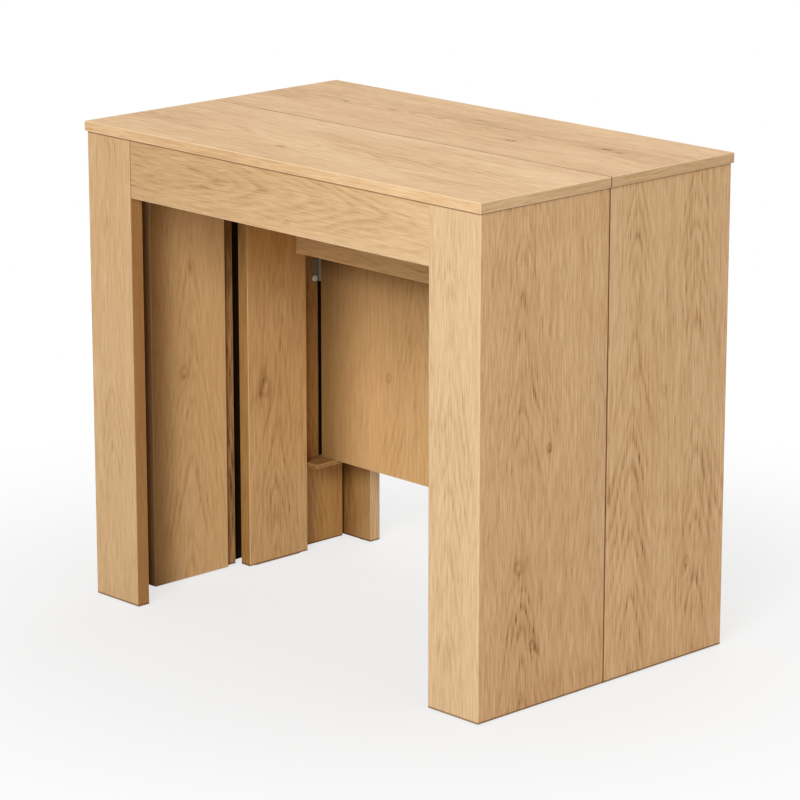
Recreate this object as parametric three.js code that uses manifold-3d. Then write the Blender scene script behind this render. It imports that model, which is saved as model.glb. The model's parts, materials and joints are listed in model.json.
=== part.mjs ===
// Extending console table, closed. Millimetres, +Z up, origin on the floor under the middle of the closed table.
// X runs along the table's width, and the front half is pulled out towards -Y.
import * as THREE from "three";
import { mergeVertices } from "three/addons/utils/BufferGeometryUtils.js";
import Module from "manifold-3d";

const wasm = await Module();
wasm.setup();

// Closed table
const tableWidth = 880;
const halfDepth = 270;
const tableHeight = 780;
const seamGap = 0.75;

// Boards
const topThickness = 16;
const topOverhang = 3;
const boardThickness = 22;
const legWidth = 104;
const apronHeight = 93;
const edgeEase = 1;
const cornerEase = 1.5;
const easeSteps = 2;
const cutOverrun = 5;

// Inner boards of the two halves
const frontBoardSetback = 65;
const rearBoardGap = 8;
const battenWidth = 22;
const battenThickness = 15;

// Back panel with its ledges, clips and screws
const backPanelThickness = 18;
const backPanelSideGap = 10;
const backPanelBottom = 155;
const backPanelHeadroom = 8;
const backPanelSetback = 47;
const ledgeWidth = 44;
const ledgeThickness = 7;
const ledgePostGap = 1;
const ledgeOverhang = 18;
const clipHeight = 30;
const clipFlangeHeight = 17;
const clipDepth = 12;
const clipReach = 12;
const clipThickness = 1.5;
const clipRiseShare = 0.559;
const screwHeadRadius = 5.5;
const screwHeadHeight = 4;
const screwShankRadius = 2;
const screwLength = 12;
const screwEndInset = 6.5;
const capSteps = 4;
const fitGap = 0.3;

// Centre support
const postSetback = 5;
const supportBackGap = 45;
const slideGap = 1;
const crossBoardHeight = 184;
const supportPlateThickness = 3;
const supportPlateWidth = 40;
const supportPlateDrop = 60;
const supportPlateReach = 60;

// Telescopic guides: tee tongue in tee slot, side by side
const railEndGap = 5;
const railHeight = 50;
const railHeadroom = 8;
const railDepth = 12;
const railWall = 2.5;
const railWeb = 4;
const railGap = 0.5;
const tongueNeck = 14;
const tongueHead = 3.5;
const slotMouth = 16;
const middleStages = 5;
const stageTravel = 310;
const stopPinRadius = 1.5;
const stopPinReach = 2;
const stopPinSides = 12;
const stopInset = 15;
const stopClearance = 0.5;
const guideInset = 24;

// Steel angles that hold the end rails under the tops
const angleThickness = 2.5;
const angleWidth = 20;
const angleDrop = 44;
const angleSeamGap = 30;
const angleScrewRadius = 2.25;
const angleScrewPitch = 80;
const angleScrews = 2;

// Floor glides and dowels
const glideThickness = 2;
const glideRadius = 9;
const glideRim = 1;
const legGlideInset = 26;
const sideGlideShare = 0.2;
const stripWidth = 16;
const stripLength = 100;
const dowelRadius = 4;
const dowelLength = 28;
const dowelSpreadShare = 0.6;
const dowelTip = 1;
const roundSides = 24;

// Places worked out from the sizes
const halfWidth = tableWidth / 2;
const halfSeam = seamGap / 2;
const topUnderside = tableHeight - topThickness;
const topMiddle = topUnderside + topThickness / 2;
const legHeight = topUnderside - glideThickness;
const sideOuter = halfWidth - topOverhang;
const sideInner = sideOuter - boardThickness;
const boardInner = sideInner - boardThickness;
const faceOuter = halfDepth - topOverhang;
const faceInner = faceOuter - boardThickness;
const postOuter = boardInner - slideGap;
const postInner = postOuter - boardThickness;
const backPanelFront = faceInner - backPanelSetback - backPanelThickness;
const postFront = halfSeam + postSetback;
const postBack = backPanelFront - supportBackGap;
const postDepth = postBack - postFront;
const railBottom = topUnderside - railHeadroom - railHeight;
const railPitch = railDepth + railGap;
const guideOuter = boardInner - guideInset;
const supportTop = railBottom - supportPlateThickness;
const backPanelEdge = boardInner - backPanelSideGap;
const backPanelHeight = supportTop - backPanelHeadroom - backPanelBottom;
const clipBottom = backPanelBottom + clipRiseShare * backPanelHeight;
const innerBoardWidth = faceInner - frontBoardSetback - battenWidth - halfSeam;
const railLength = 2 * (faceInner - railEndGap);
const angleLength = faceInner - railEndGap - angleSeamGap;
const dowelSpread = dowelSpreadShare * tableWidth;

const oak = new THREE.MeshStandardMaterial({ color: 0xd3a872, roughness: 0.5, metalness: 0 });
const innerOak = new THREE.MeshStandardMaterial({ color: 0xb98b57, roughness: 0.55, metalness: 0 });
const aluminium = new THREE.MeshStandardMaterial({ color: 0xb9bcc0, roughness: 0.35, metalness: 1 });
const steel = new THREE.MeshStandardMaterial({ color: 0x9da0a3, roughness: 0.4, metalness: 1 });
const nylon = new THREE.MeshStandardMaterial({ color: 0xe6e3dc, roughness: 0.5, metalness: 0 });
const beech = new THREE.MeshStandardMaterial({ color: 0xd9b98c, roughness: 0.6, metalness: 0 });

const table = new THREE.Group();

// Solids for joins and cuts
function toSolid(geometry) {
  const bare = geometry.index ? geometry.toNonIndexed() : geometry.clone();
  bare.deleteAttribute("normal");
  bare.deleteAttribute("uv");
  const merged = mergeVertices(bare);
  const vertProperties = new Float32Array(merged.attributes.position.array);
  const triVerts = new Uint32Array(merged.index.array);
  return new wasm.Manifold(new wasm.Mesh({ numProp: 3, vertProperties, triVerts }));
}

function toGeometry(solid) {
  const mesh = solid.getMesh();
  const geometry = new THREE.BufferGeometry();
  geometry.setAttribute("position", new THREE.BufferAttribute(mesh.vertProperties, 3));
  geometry.setIndex(new THREE.BufferAttribute(mesh.triVerts, 1));
  return geometry;
}

function cut(geometry, cutters) {
  let solid = toSolid(geometry);
  for (const cutter of cutters) solid = solid.subtract(toSolid(cutter));
  return toGeometry(solid);
}

function join(first, second) {
  return toGeometry(toSolid(first).add(toSolid(second)));
}

// A rectangle of the given size, with its lower left corner at (left, low)
function rectangle(left, low, width, height) {
  const shape = new THREE.Shape();
  shape.moveTo(left, low);
  shape.lineTo(left + width, low);
  shape.lineTo(left + width, low + height);
  shape.lineTo(left, low + height);
  shape.closePath();
  return shape;
}

function outline(points) {
  return new THREE.Shape(points.map(([across, up]) => new THREE.Vector2(across, up)));
}

// A board with eased edges round both faces, from 0 to its size in X, Y and Z
function easedBoard(width, height, thickness) {
  const shape = rectangle(edgeEase, edgeEase, width - 2 * edgeEase, height - 2 * edgeEase);
  const geometry = new THREE.ExtrudeGeometry(shape, {
    depth: thickness - 2 * edgeEase,
    bevelSize: edgeEase,
    bevelThickness: edgeEase,
    bevelSegments: easeSteps,
  });
  return geometry.translate(0, 0, edgeEase);
}

// The same board stood up, facing the front
function frontBoard(width, height, thickness) {
  return easedBoard(width, height, thickness)
    .rotateX(Math.PI / 2)
    .translate(0, thickness, 0);
}

// The same board stood up, facing the side
function sideBoard(depth, height, thickness) {
  return easedBoard(depth, height, thickness)
    .rotateX(Math.PI / 2)
    .rotateZ(Math.PI / 2);
}

// A straight piece with the given section in X and Z, running along Y from 0
function alongY(shape, length) {
  return new THREE.ExtrudeGeometry(shape, { depth: length, bevelEnabled: false })
    .rotateX(Math.PI / 2)
    .translate(0, length, 0);
}

// An upright piece with the given plan, from 0 up
function upright(shape, height) {
  return new THREE.ExtrudeGeometry(shape, { depth: height, bevelEnabled: false, curveSegments: easeSteps });
}

function rod(radius, length) {
  return new THREE.CylinderGeometry(radius, radius, length, roundSides);
}

function place(body, name, geometry, material, x, y, z) {
  const mesh = new THREE.Mesh(geometry, material);
  mesh.name = name;
  mesh.position.set(x, y, z);
  body.add(mesh);
}

// The right-hand piece, and its mirror image on the left
function placePair(body, name, geometry, material, x, y, z) {
  const left = new THREE.Group();
  left.scale.x = -1;
  body.add(left);
  place(body, `${name}_right`, geometry, material, x, y, z);
  place(left, `${name}_left`, geometry, material, x, y, z);
}

function newBody() {
  const body = new THREE.Group();
  table.add(body);
  return body;
}

// Plan of the right-hand leg plate of the front half: a mitre at its outer end, and an eased corner
function legPlan() {
  const shape = new THREE.Shape();
  shape.moveTo(sideOuter - legWidth, -faceOuter);
  shape.lineTo(sideOuter - cornerEase, -faceOuter);
  shape.absarc(sideOuter - cornerEase, cornerEase - faceOuter, cornerEase, -Math.PI / 2, -Math.PI / 4, false);
  shape.lineTo(sideInner, -faceInner);
  shape.lineTo(sideOuter - legWidth, -faceInner);
  shape.closePath();
  return shape;
}

// Plan of the right-hand side panel of the front half, from the same mitre to the seam
function sidePlan() {
  const shape = new THREE.Shape();
  shape.moveTo(sideInner, -faceInner);
  shape.absarc(sideOuter - cornerEase, cornerEase - faceOuter, cornerEase, -Math.PI / 4, 0, false);
  shape.lineTo(sideOuter, -halfSeam);
  shape.lineTo(sideInner, -halfSeam);
  shape.closePath();
  return shape;
}

function glide() {
  const profile = [
    new THREE.Vector2(0, 0),
    new THREE.Vector2(glideRadius - glideRim, 0),
    new THREE.Vector2(glideRadius, glideRim),
    new THREE.Vector2(glideRadius, glideThickness),
    new THREE.Vector2(0, glideThickness),
  ];
  return new THREE.LatheGeometry(profile, roundSides).rotateX(Math.PI / 2);
}

function dowel() {
  const halfLength = dowelLength / 2;
  const profile = [
    new THREE.Vector2(0, -halfLength),
    new THREE.Vector2(dowelRadius - dowelTip, -halfLength),
    new THREE.Vector2(dowelRadius, dowelTip - halfLength),
    new THREE.Vector2(dowelRadius, halfLength - dowelTip),
    new THREE.Vector2(dowelRadius - dowelTip, halfLength),
    new THREE.Vector2(0, halfLength),
  ];
  return new THREE.LatheGeometry(profile, roundSides);
}

// One half of the top, with its blind dowel holes in the seam edge
function halfTop(name, body, towards) {
  const depth = halfDepth - halfSeam;
  const low = towards > 0 ? halfSeam : -halfDepth;
  const board = easedBoard(tableWidth, depth, topThickness).translate(-halfWidth, low, topUnderside);
  const holes = [-1, 1].map((side) =>
    rod(dowelRadius + fitGap, dowelLength + 2 * fitGap)
      .translate((side * dowelSpread) / 2, 0, topMiddle));
  place(body, name, cut(board, holes), oak, 0, 0, 0);
}

// Legs, sides, apron and glides, built for the front half and turned round for the rear half
function halfFrame(end, body, towards) {
  const turned = new THREE.Group();
  turned.scale.y = -towards;
  body.add(turned);
  placePair(turned, `${end}_leg`, upright(legPlan(), legHeight), oak, 0, 0, glideThickness);
  placePair(turned, `${end}_side`, upright(sidePlan(), legHeight), oak, 0, 0, glideThickness);
  const apronWidth = 2 * (sideOuter - legWidth);
  const apron = frontBoard(apronWidth, apronHeight, boardThickness);
  place(turned, `${end}_apron`, apron, oak, -apronWidth / 2, -faceOuter, topUnderside - apronHeight);
  const glideLine = (sideOuter + sideInner) / 2;
  placePair(turned, `${end}_leg_glide`, glide(), nylon, sideOuter - legWidth + legGlideInset,
    -(faceOuter + faceInner) / 2, 0);
  placePair(turned, `${end}_side_glide`, glide(), nylon, glideLine, -sideGlideShare * halfDepth, 0);
}

function screwHole(radius, length) {
  return rod(radius, length).rotateZ(Math.PI / 2);
}

// Inner boards: the front one is set back and has a batten behind it, the rear one ends near the leg plate
function frontInnerBoards(body) {
  const boardFront = frontBoardSetback - faceInner;
  const board = sideBoard(innerBoardWidth, legHeight, boardThickness);
  placePair(body, "front_inner_board", board, innerOak, boardInner, boardFront, glideThickness);
  const batten = sideBoard(battenWidth, legHeight, battenThickness);
  placePair(body, "seam_batten", batten, innerOak, sideInner - battenThickness, -halfSeam - battenWidth,
    glideThickness);
}

const screwY = backPanelFront - clipDepth / 2;
const screwZ = clipBottom + screwEndInset;

function rearInnerBoards(body) {
  const board = sideBoard(innerBoardWidth, legHeight, boardThickness)
    .translate(boardInner, faceInner - rearBoardGap - innerBoardWidth, glideThickness);
  const hole = screwHole(screwShankRadius + fitGap, 2 * (screwLength + fitGap))
    .translate(boardInner, screwY, screwZ);
  placePair(body, "rear_inner_board", cut(board, [hole]), innerOak, 0, 0, 0);
}

function backPanel(body) {
  const panel = frontBoard(2 * backPanelEdge, backPanelHeight, backPanelThickness);
  place(body, "back_panel", panel, innerOak, -backPanelEdge, backPanelFront, backPanelBottom);
  const ledgeFront = postBack + ledgePostGap;
  const ledgeDepth = backPanelFront + backPanelThickness + ledgeOverhang - ledgeFront;
  const ledge = easedBoard(ledgeWidth, ledgeDepth, ledgeThickness);
  placePair(body, "panel_ledge", ledge, innerOak, boardInner - ledgeWidth, ledgeFront,
    backPanelBottom - ledgeThickness);
}

// An angle clip that stops the back panel from tipping forward, and its screw. Its plate is screwed to
// the inner board, and its flange starts above the screw's cap and laps over the panel's edge.
function panelClips(body) {
  const plate = rectangle(boardInner - clipThickness, backPanelFront - clipDepth, clipThickness, clipDepth);
  const flange = rectangle(boardInner - clipReach, backPanelFront - clipThickness, clipReach, clipThickness);
  const upperFlange = upright(flange, clipFlangeHeight).translate(0, 0, clipHeight - clipFlangeHeight);
  const hole = screwHole(screwShankRadius + fitGap, 2 * (clipThickness + cutOverrun))
    .translate(boardInner, screwY, screwEndInset);
  const clip = cut(join(upright(plate, clipHeight), upperFlange), [hole]);
  placePair(body, "panel_clip", clip, steel, 0, 0, clipBottom);
  placePair(body, "panel_clip_screw", clipScrew(), nylon, boardInner - clipThickness, screwY, screwZ);
}

// A screw with a domed cap, its seat at 0 and its shank pointing to +X
function clipScrew() {
  const profile = [new THREE.Vector2(0, -screwLength), new THREE.Vector2(screwShankRadius, -screwLength)];
  profile.push(new THREE.Vector2(screwShankRadius, 0));
  for (let step = 0; step <= capSteps; step += 1) {
    const turn = ((Math.PI / 2) * step) / capSteps;
    const across = step === capSteps ? 0 : screwHeadRadius * Math.cos(turn);
    profile.push(new THREE.Vector2(across, screwHeadHeight * Math.sin(turn)));
  }
  return new THREE.LatheGeometry(profile, roundSides).rotateZ(Math.PI / 2);
}

// Sections of the rails, in X from the rail's outer face inwards and in Z from its bottom
const slotLow = (railHeight - slotMouth) / 2;
const slotHigh = railHeight - slotLow;
const neckLow = (railHeight - tongueNeck) / 2;
const neckHigh = railHeight - neckLow;
const headLow = railWall + railGap;
const headHigh = railHeight - headLow;

// The tee tongue on a face at the given depth, from its lower root to its upper one
function tonguePoints(face) {
  const headStart = face + railGap + railWall + railGap;
  const headEnd = headStart + tongueHead;
  return [
    [face, neckLow],
    [headStart, neckLow],
    [headStart, headLow],
    [headEnd, headLow],
    [headEnd, headHigh],
    [headStart, headHigh],
    [headStart, neckHigh],
    [face, neckHigh],
  ];
}

// The tee slot that a tongue of the next rail out runs in, from its upper lip to its lower one
function slotPoints() {
  const back = railDepth - railWall;
  return [
    [0, slotHigh],
    [railWall, slotHigh],
    [railWall, railHeight - railWall],
    [back, railHeight - railWall],
    [back, railWall],
    [railWall, railWall],
    [railWall, slotLow],
    [0, slotLow],
  ];
}

function railSection(depth, slot, tongue) {
  return [
    [0, 0],
    [depth, 0],
    ...(tongue ? tonguePoints(depth) : []),
    [depth, railHeight],
    [0, railHeight],
    ...(slot ? slotPoints() : []),
  ];
}

// The stop pin stands on the slot's lip near the rail's rear end, and runs in the next rail's milled track
const stopHeight = (headLow + slotLow) / 2;
const pinAlong = railLength - stopInset;

function stopPin() {
  const reach = railGap + stopPinReach;
  return new THREE.CylinderGeometry(stopPinRadius, stopPinRadius, reach + railWall, stopPinSides)
    .rotateZ(Math.PI / 2)
    .translate((reach - railWall) / 2, pinAlong, stopHeight);
}

// A round-ended track through the wall with its outer face at the given depth, as long as one stage's travel
function stopTrack(face) {
  const radius = stopPinRadius + stopClearance;
  const shape = new THREE.Shape();
  shape.absarc(pinAlong, stopHeight, radius, -Math.PI / 2, Math.PI / 2, false);
  shape.absarc(pinAlong - stageTravel, stopHeight, radius, Math.PI / 2, (3 * Math.PI) / 2, false);
  const width = railWeb + railGap / 2;
  return new THREE.ExtrudeGeometry(shape, { depth: width, bevelEnabled: false, curveSegments: stopPinSides })
    .rotateX(Math.PI / 2)
    .rotateZ(Math.PI / 2)
    .translate(-face - railGap / 4, 0, 0);
}

// A rail of the right-hand guide: its section is laid out inwards, so it is turned round in X
function rail(depth, slot, tongue) {
  const section = railSection(depth, slot, tongue).map(([inwards, up]) => [-inwards, up]);
  let geometry = alongY(outline(section), railLength);
  if (slot) geometry = join(geometry, stopPin());
  if (tongue) geometry = cut(geometry, [stopTrack(depth)]);
  return geometry;
}

// Distance of the outer face of a stage from the outer face of the guide
function stageInset(stage) {
  return railWeb + railGap + (stage - 1) * railPitch;
}

function middleRail(body, name, stage) {
  placePair(body, name, rail(railDepth, true, true), aluminium, guideOuter - stageInset(stage),
    -railLength / 2, railBottom);
}

const lastStage = middleStages + 1;
const centreStage = lastStage / 2;
const guideInner = guideOuter - stageInset(lastStage) - railDepth;

function endRails(rearBody, frontBody) {
  placePair(rearBody, "rear_rail", rail(railWeb, false, true), aluminium, guideOuter, -railLength / 2, railBottom);
  placePair(frontBody, "front_rail", rail(railDepth, true, false), aluminium,
    guideOuter - stageInset(lastStage), -railLength / 2, railBottom);
}

// A steel angle under the top, its upright flange at x = 0 to angleThickness, its flat one to angleWidth
function railAngle() {
  const section = outline([
    [0, -angleDrop],
    [angleThickness, -angleDrop],
    [angleThickness, -angleThickness],
    [angleWidth, -angleThickness],
    [angleWidth, 0],
    [0, 0],
  ]);
  const holes = [];
  for (let screw = 0; screw < angleScrews; screw += 1) {
    const along = angleLength / 2 + (screw - (angleScrews - 1) / 2) * angleScrewPitch;
    const across = (angleThickness + angleWidth) / 2;
    const hole = rod(angleScrewRadius, 2 * (angleThickness + cutOverrun));
    holes.push(hole.rotateX(Math.PI / 2).translate(across, along, 0));
  }
  return cut(alongY(section, angleLength), holes);
}

function railAngles(rearBody, frontBody) {
  const start = angleSeamGap;
  placePair(rearBody, "rear_rail_bracket", railAngle(), steel, guideOuter, start, topUnderside);
  const turned = railAngle().rotateZ(Math.PI).translate(0, angleLength, 0);
  placePair(frontBody, "front_rail_bracket", turned, steel, guideInner, -start - angleLength, topUnderside);
}

// Portal under the middle of the leaves, carried by the centre rails
function centreSupport(body) {
  const postHeight = supportTop - glideThickness;
  const post = sideBoard(postDepth, postHeight, boardThickness);
  placePair(body, "support_post", post, innerOak, postInner, postFront, glideThickness);
  const crossBoard = frontBoard(2 * postInner, crossBoardHeight, boardThickness);
  place(body, "support_cross_board", crossBoard, innerOak, -postInner, postBack - boardThickness,
    supportTop - crossBoardHeight);
  placePair(body, "post_glide", glideStrip(), nylon, (postOuter + postInner) / 2,
    (postFront + postBack) / 2, 0);
  middleRail(body, "centre_rail", centreStage);
  supportPlates(body);
}

function glideStrip() {
  return new THREE.BoxGeometry(stripWidth, stripLength, glideThickness).translate(0, 0, glideThickness / 2);
}

// A cranked plate: narrow under the centre rail, wide down the front of the cross board
function supportPlates(body) {
  const crossFront = postBack - boardThickness;
  const middle = guideOuter - stageInset(centreStage) - railDepth / 2;
  const top = new THREE.BoxGeometry(railDepth, supportPlateReach + boardThickness, supportPlateThickness)
    .translate(0, (boardThickness - supportPlateReach) / 2, supportPlateThickness / 2);
  const drop = new THREE.BoxGeometry(supportPlateWidth, supportPlateThickness, supportPlateDrop)
    .translate(0, -supportPlateThickness / 2, -supportPlateDrop / 2);
  placePair(body, "support_bracket", join(top, drop), steel, middle, crossFront, supportTop);
}

const rearHalf = newBody();
const frontHalf = newBody();
const support = newBody();

halfTop("rear_top", rearHalf, 1);
halfTop("front_top", frontHalf, -1);
halfFrame("rear", rearHalf, 1);
halfFrame("front", frontHalf, -1);
frontInnerBoards(frontHalf);
rearInnerBoards(rearHalf);
backPanel(rearHalf);
panelClips(rearHalf);
endRails(rearHalf, frontHalf);
railAngles(rearHalf, frontHalf);
centreSupport(support);
for (let stage = 1; stage <= middleStages; stage += 1) {
  if (stage !== centreStage) middleRail(newBody(), `telescopic_rail_${stage}`, stage);
}
placePair(frontHalf, "top_dowel", dowel(), beech, dowelSpread / 2, 0, topMiddle);

export default table;
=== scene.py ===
"""Looks of the extending dining table: oak decor, metal guides, fittings, studio light and camera.

Metres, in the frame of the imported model: the floor is at z = 0, the table's width runs along X,
and the front half slides out towards -Y.
"""

import json
import math

import bpy
from mathutils import Matrix, Vector

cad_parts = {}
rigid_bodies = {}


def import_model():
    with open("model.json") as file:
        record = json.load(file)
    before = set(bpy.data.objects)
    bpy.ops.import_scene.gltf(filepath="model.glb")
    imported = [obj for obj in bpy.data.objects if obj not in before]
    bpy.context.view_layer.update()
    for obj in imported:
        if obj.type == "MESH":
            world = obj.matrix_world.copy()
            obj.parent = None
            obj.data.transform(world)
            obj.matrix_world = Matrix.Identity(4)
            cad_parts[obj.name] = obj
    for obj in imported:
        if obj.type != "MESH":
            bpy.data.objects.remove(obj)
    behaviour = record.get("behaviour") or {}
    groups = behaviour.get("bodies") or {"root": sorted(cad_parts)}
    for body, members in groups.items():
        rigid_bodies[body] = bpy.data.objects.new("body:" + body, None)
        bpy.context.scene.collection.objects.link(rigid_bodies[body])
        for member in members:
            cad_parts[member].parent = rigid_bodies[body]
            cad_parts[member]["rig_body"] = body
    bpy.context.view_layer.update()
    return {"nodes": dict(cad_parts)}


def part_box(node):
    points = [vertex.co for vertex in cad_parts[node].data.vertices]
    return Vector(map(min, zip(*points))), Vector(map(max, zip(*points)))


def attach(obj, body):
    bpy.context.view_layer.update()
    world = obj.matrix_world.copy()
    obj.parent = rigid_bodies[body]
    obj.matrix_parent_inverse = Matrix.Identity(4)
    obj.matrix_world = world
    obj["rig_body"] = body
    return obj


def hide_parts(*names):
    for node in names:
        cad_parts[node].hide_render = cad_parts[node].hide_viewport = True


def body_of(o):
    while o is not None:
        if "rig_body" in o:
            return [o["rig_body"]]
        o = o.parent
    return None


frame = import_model()

MM = 0.001
X, Y, Z = 0, 1, 2
LEFT, RIGHT = -1, 1
SIDES = {"left": LEFT, "right": RIGHT}
TO_FRONT = (Y, -1)

# Camera, fitted to the corners of the photographed table
CAMERA_PLACE = (4.01024, -3.85713, 1.83646)
CAMERA_YAW = 46.15
CAMERA_PITCH = 14.86
CAMERA_LENS = 165.29

# Studio. To the camera the floor is partly white near the table, and wholly white farther off.
FLOOR_REACH = 30.0
FLOOR_GAP = 0.2 * MM
FLOOR_TONE = 0.78
FLOOR_WHITE = 0.72
FLOOR_FADE = (0.45, 1.3)
AMBIENT = 0.27
LIGHTS = {
    "front_light": {"place": (2.72, -5.28, 3.6), "size": 3.2, "level": 0.70, "glossy": False},
    "top_light": {"place": (0.2, 0.6, 4.2), "size": 3.0, "level": 0.30},
    "back_light": {"place": (-1.6, 3.2, 2.2), "size": 3.0, "level": 0.17, "glossy": False},
}
AIM = (0.0, 0.0, 0.4)

# Oak decor: linear colours from the light wood between the rings to the dark of a knot, and the
# shades that they stand for
OUTER_OAK = ((0.84, 0.61, 0.365), (0.70, 0.470, 0.258), (0.50, 0.300, 0.140), (0.20, 0.100, 0.040))
TOP_OAK = ((0.85, 0.595, 0.340), (0.71, 0.450, 0.228), (0.50, 0.285, 0.124), (0.20, 0.100, 0.040))
# A darker, warmer copy of the outer oak: painted shade on the left front leg, the aprons and the
# rear legs
SHADED_OUTER_OAK = ((0.83, 0.585, 0.335), (0.675, 0.438, 0.225), (0.485, 0.280, 0.122),
            (0.19, 0.092, 0.035))
SIDE_OAK = ((0.85, 0.555, 0.295), (0.715, 0.428, 0.206), (0.51, 0.275, 0.113),
            (0.18, 0.085, 0.032))
INNER_OAK = ((0.88, 0.585, 0.295), (0.74, 0.462, 0.208), (0.51, 0.285, 0.110),
             (0.17, 0.078, 0.027))
PLAIN_SHADE = 0.36
SHADES = (0.0, PLAIN_SHADE, 0.75, 1.0)

# Noise in the grain, as scales across and along it per metre. The rings' strength is per ring.
DRIFT = (7.0, 2.2)
WOBBLE = (45.0, 12.0)
CLIMB = (1.0, 7.0)
FIGURE_WIDTH = (5.0, 4.0)
RING_STRENGTH = (0.7, 5.0)
PORES = (700.0, 45.0)
FINE_STROKES = (430.0, 20.0)
LONG_LINES = (200.0, 7.0)
STREAKS = (60.0, 2.5)
CLOUDS = (14.0, 3.0)
DRIFT_WIDTH = 30 * MM
WOBBLE_WIDTH = 3 * MM
CLIMB_HEIGHT = 20 * MM
FIGURE_CHANGE = 160 * MM
SEED_STEP = 3.7

# Rings: pointed arches on the figure's axis, each with a dark line that comes and goes
RING_PITCH = 11 * MM
TIP_RADIUS = 9 * MM
PLAIN_SPACING = 0.6
PLAIN_REACH = 45 * MM
PLAIN_SLOPE = 0.2
FIGURE_EDGE = (0.4, 1.6)
RING_SHADES = ((0.0, 0.4), (0.2, 1.0), (0.6, 0.3), (0.9, 0.0), (1.0, 0.4))
RING_PROFILE = tuple((place, (shade,) * 3) for place, shade in RING_SHADES)
RING_SHOWN = (0.3, 0.7, 0.1, 1.0)
BESIDE_LOSS = 0.8

# Knots: how they push the grain up and aside, and their dark ring and middle, in shares of a radius
KNOT_FALL = 0.35
KNOT_PUSH_ALONG = 0.2
KNOT_RAISE = 1.6
KNOT_SPREAD = 0.75
KNOT_RING = 0.75
KNOT_RING_ALONG = 0.6
KNOT_RING_FALL = 7.0
KNOT_RING_DARK = 0.2
KNOT_MIDDLE_DARK = 0.12

# Weight and mean of the rings, pores, fine strokes, long lines, streaks and clouds in a shade
GRAIN_WEIGHTS = ((0.35, 0.24), (0.30, 0.17), (1.15, 0.5), (0.4, 0.5), (0.28, 0.5), (0.2, 0.5))
DASHES = (0.36, 0.64, 0.8, 1.15)
PORE_EDGE = (0.50, 0.66)
PORES_ON_RINGS = (0.7, 0.45)

# Edges of a board with their painted highlights, its dark joints and painted shadow lines, and
# its recesses and faces with their painted shade
RIM = 1.3 * MM
EDGE_HIGHLIGHT_STRENGTH = 0.75
EDGE_HIGHLIGHT_COLOUR = (0.92, 0.69, 0.45)
JOINT_AND_SHADOW_DARK = (0.17, 0.065, 0.014)
SLIT_SHADE_DARK = (0.014, 0.008, 0.004)
# Tint of painted shade and painted light, warmer where darker
SHADED = (1.0, 0.87, 0.64)
LINE_CORE = 0.6
FACING = (0.7, 0.8)
EDGE_FACING = 0.75
BAND_SHIFT = 0.35

# Surfaces. A bump is a strength and a depth.
OAK_ROUGHNESS = (0.12, 0.5)
OAK_SPECULAR = 0.2
OAK_RELIEF = (-0.6, 0.4)
OAK_BUMP = (0.25, 0.2 * MM)
WIDE_RAMP = (0.2, 0.8)
DRAWN_SCALE = 6.0
DRAWN_CHANGE = 0.24
CLOUD_CHANGE = 0.3
METAL_TINTS = (0.8, 1.12)
METAL_UNEVEN = 0.5
METAL_BUMP = (0.2, 0.05 * MM)
PLASTIC_GRAIN = 1800.0
PLASTIC_CLOUDS = 60.0
PLASTIC_RAMP = (0.3, 0.7)
PLASTIC_DARK = 0.86
PLASTIC_UNEVEN = 0.2
PLASTIC_BUMP = (0.3, 0.05 * MM)
BEECH_FIBRES = (900.0, 30.0, 900.0)
BEECH_FLECKS = (1500.0, 160.0, 1500.0)
BEECH_FLECK_EDGE = (0.6, 0.7, 0.0, 0.3)
BEECH_FIBRE_SHARE = 0.6
BEECH_ROUGHNESS = (0.2, 0.5)

# Fittings that the frame has no nodes for
RING_SIDES = 24
SHARP_ANGLE = math.radians(35)
BRACKET_SHEET = 2.5 * MM
SUPPORT_SHEET = 3 * MM
TOP_SCREW_SHIFTS = (-40 * MM, 40 * MM)
RAIL_SCREW_SHIFTS = (-75 * MM, 75 * MM)
RAIL_SCREW_RISE = 14 * MM
RAIL_SCREW_LENGTH = 8 * MM
BOARD_SCREW_SHIFTS = (-10 * MM, 10 * MM)
BOARD_SCREW_RISES = (14 * MM, 40 * MM)
CARRIER_SCREW_STARTS = (10 * MM, 32 * MM)
CARRIER_SCREW_LENGTH = 6 * MM
LEDGE_SCREW_LENGTH = 30 * MM
CAM_INSET = 34 * MM
SIDE_CAM_PLACE = {"front": 212 * MM, "rear": 40 * MM}
CLIP_SHEET = 1.5 * MM
CLIP_BEND = 2 * MM
CLIP_LAP = 8 * MM
CLIP_RISE = 8 * MM
CLIP_SCREW = {"height": 3.6 * MM, "shank": 2.0 * MM, "length": 10 * MM}


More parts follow.
